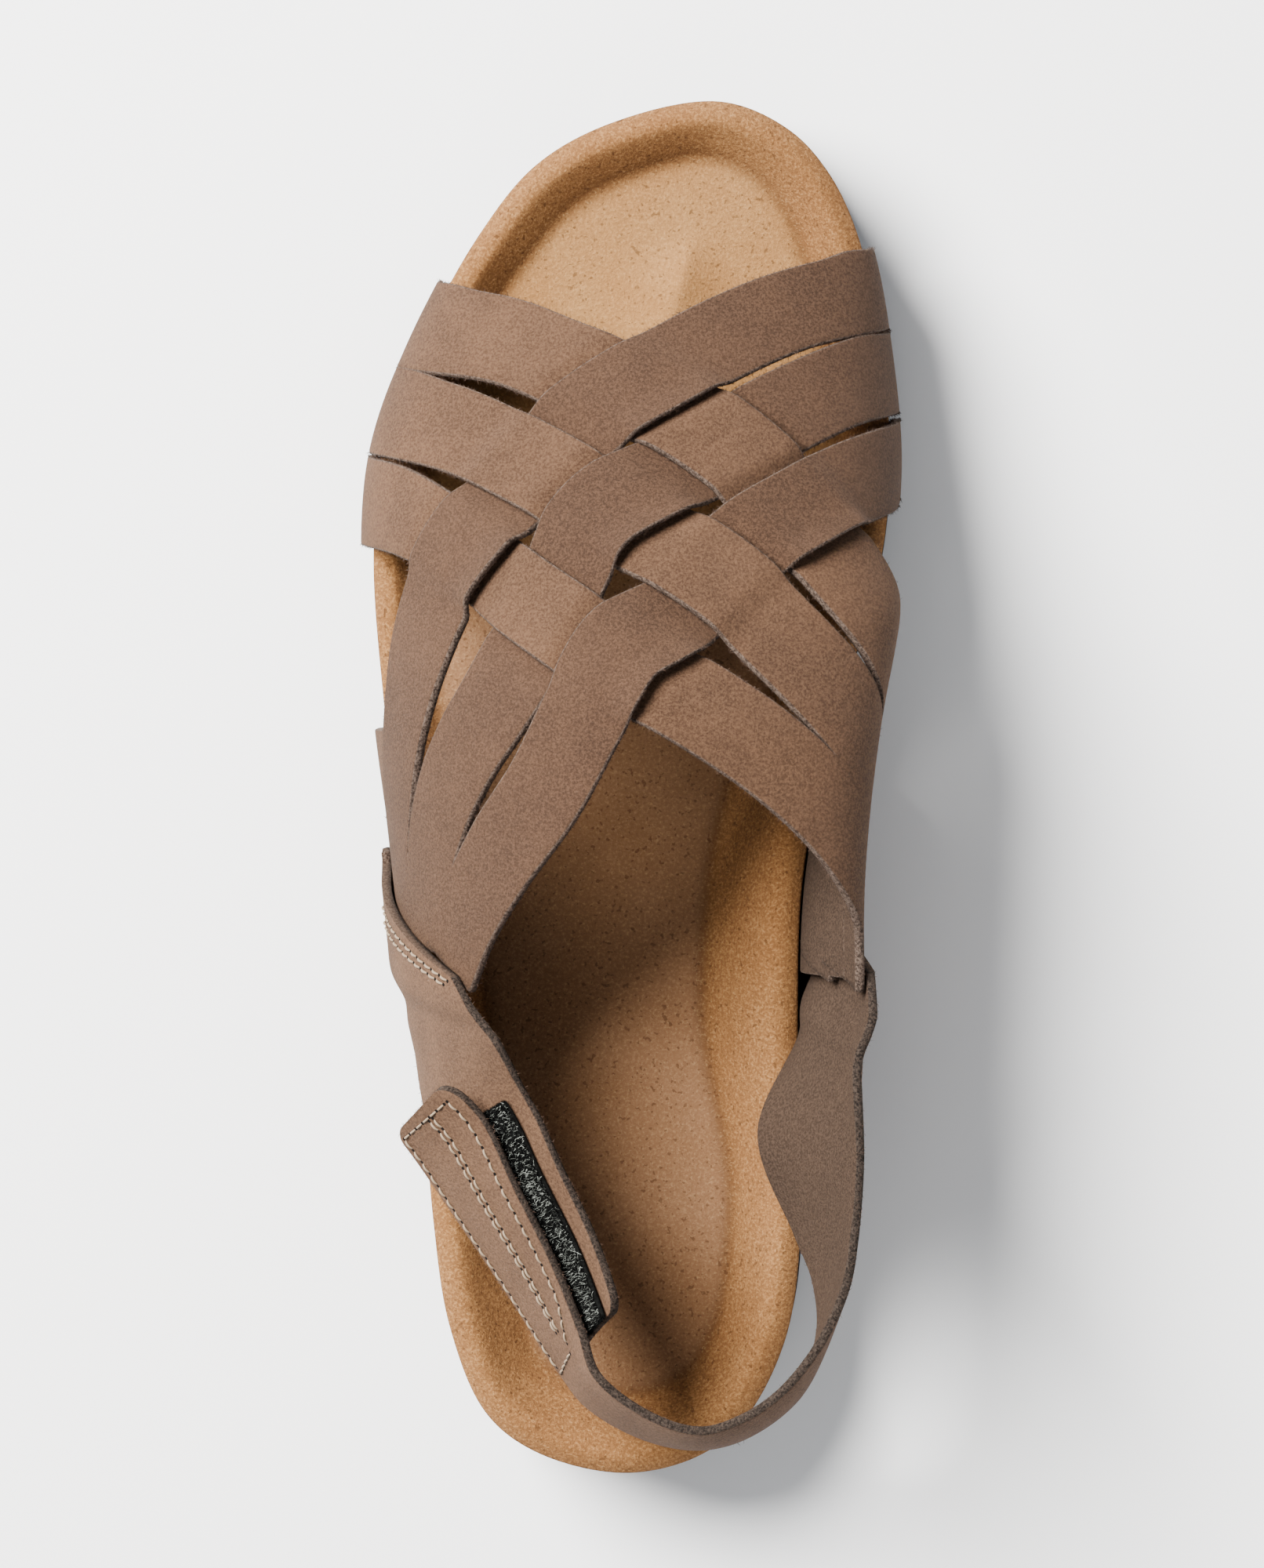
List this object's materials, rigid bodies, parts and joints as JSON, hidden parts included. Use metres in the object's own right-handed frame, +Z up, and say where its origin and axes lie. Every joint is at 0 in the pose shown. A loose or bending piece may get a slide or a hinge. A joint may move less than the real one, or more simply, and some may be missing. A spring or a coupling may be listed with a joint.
{
  "type": "flat sandal",
  "caption": "Left flat sandal with a woven suede strap upper, a contoured suede footbed and a hook-and-loop sling strap round the heel.",
  "frame": {"origin": "middle of the footprint, on the ground", "axes": "+Y towards the toes, +X towards the inner side of the foot, +Z up"},
  "size_m": [0.103, 0.26, 0.0867],
  "materials": {
    "outsole_rubber": "matt dark brown rubber",
    "midsole_dark": "dark brown covered footbed side",
    "footbed_suede": "tan suede with a rough nap",
    "upper_suede": "taupe suede with a fine nap and raw cut edges",
    "tape_pile": "black fuzzy pile"
  },
  "bodies": {
    "root": {"outsole": "outsole_rubber", "midsole": "midsole_dark", "insole": "footbed_suede", "vamp": "upper_suede", "lateral_quarter": "upper_suede", "sling_strap": "upper_suede", "loop_tape": "tape_pile", "hook_tape": "tape_pile"}
  },
  "joints": []
}
